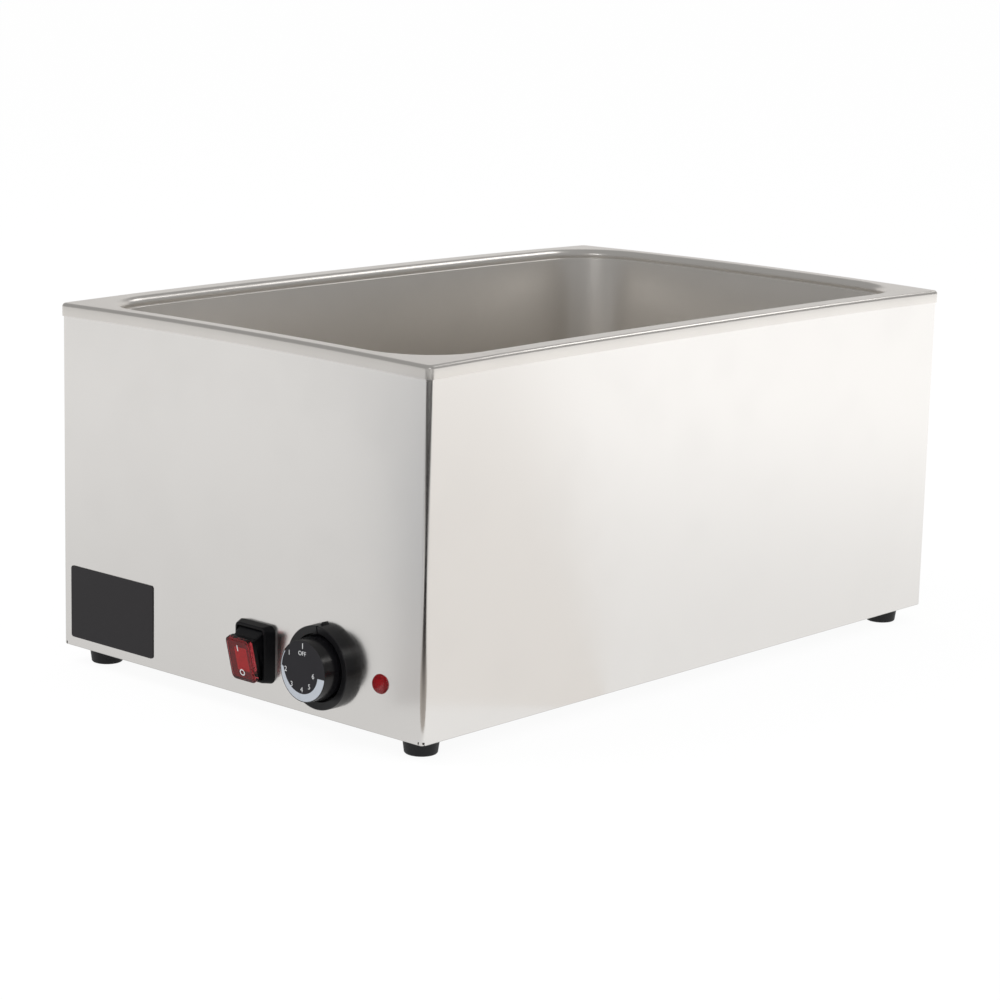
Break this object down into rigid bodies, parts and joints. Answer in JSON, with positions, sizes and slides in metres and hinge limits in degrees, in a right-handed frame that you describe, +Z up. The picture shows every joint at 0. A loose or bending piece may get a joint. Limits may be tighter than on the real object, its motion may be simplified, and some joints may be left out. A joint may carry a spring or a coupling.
{
  "type": "electric bain-marie",
  "caption": "Free-standing steel food warmer with a deep open well, a rocker switch, a thermostat knob and a pilot lamp on its short front, on rubber feet.",
  "frame": {"origin": "on the table under the middle of the casing", "axes": "+X to the right along the control face, +Y from the control face to the back, +Z up"},
  "size_m": [0.34, 0.576, 0.2484],
  "materials": {
    "tank_steel": "satin drawn stainless steel",
    "casing_steel": "satin stainless sheet",
    "zinc_steel": "bright zinc plate",
    "element_steel": "heat-dulled steel tube",
    "heater_aluminium": "mill finish",
    "copper_tube": "drawn copper",
    "blade_brass": "tinned brass",
    "black_rubber": "matt moulded rubber",
    "black_plastic": "satin moulded plastic",
    "dark_plastic": "matt moulded plastic",
    "gloss_black": "glossy moulded plastic",
    "black_film": "satin printed film",
    "red_lens": "clear red moulded plastic",
    "ceramic": "glazed ceramic",
    "mineral_wool": "loose mineral wool mat"
  },
  "bodies": {
    "root": {"tank": "tank_steel", "casing_wrap": "casing_steel", "back_panel": "casing_steel", "base_plate": "casing_steel", "base_screws": "zinc_steel", "back_panel_screws": "zinc_steel", "tank_studs": "zinc_steel", "tank_nuts": "zinc_steel", "foot_front_left": "black_rubber", "foot_front_right": "black_rubber", "foot_rear_left": "black_rubber", "foot_rear_right": "black_rubber", "foot_screws": "zinc_steel", "foot_washers": "zinc_steel", "foot_nuts": "zinc_steel", "label_plate": "black_film", "switch_frame": "black_plastic", "switch_boot": "black_rubber", "switch_body": "black_plastic", "switch_terminals": "blade_brass", "thermostat_bezel": "dark_plastic", "thermostat_body": "zinc_steel", "thermostat_screws": "zinc_steel", "thermostat_terminals": "blade_brass", "capillary_tube": "copper_tube", "sensor_bulb": "copper_tube", "bulb_clips": "zinc_steel", "pilot_lens": "red_lens", "pilot_body": "black_plastic", "pilot_nut": "zinc_steel", "heating_element": "element_steel", "heater_plate": "heater_aluminium", "heater_studs": "zinc_steel", "heater_nuts": "zinc_steel", "heater_terminals": "zinc_steel", "thermal_cutout": "ceramic", "cutout_screws": "zinc_steel", "terminal_block": "ceramic", "terminal_screws": "zinc_steel", "earth_stud": "zinc_steel", "earth_nut": "zinc_steel", "gland_body": "black_plastic", "gland_seal": "black_rubber", "gland_locknut": "black_plastic", "gland_insert": "black_rubber", "gland_cap": "black_plastic", "tank_insulation": "mineral_wool"},
    "knob": {"thermostat_shaft": "zinc_steel", "thermostat_knob": "gloss_black", "knob_dial": "gloss_black", "knob_spring": "zinc_steel"},
    "rocker": {"rocker_carrier": "black_plastic", "rocker_lens": "red_lens"}
  },
  "joints": [
    {"name": "knob_turn", "type": "hinge", "parent": "root", "child": "knob", "pos_m": [0.0837, -0.268, 0.0462], "axis": [0, 1, 0], "range_deg": [0, 265]},
    {"name": "rocker_tilt", "type": "hinge", "parent": "root", "child": "rocker", "pos_m": [0.0221, -0.2673, 0.044], "axis": [-1, 0, 0], "range_deg": [0, 27.2]}
  ]
}
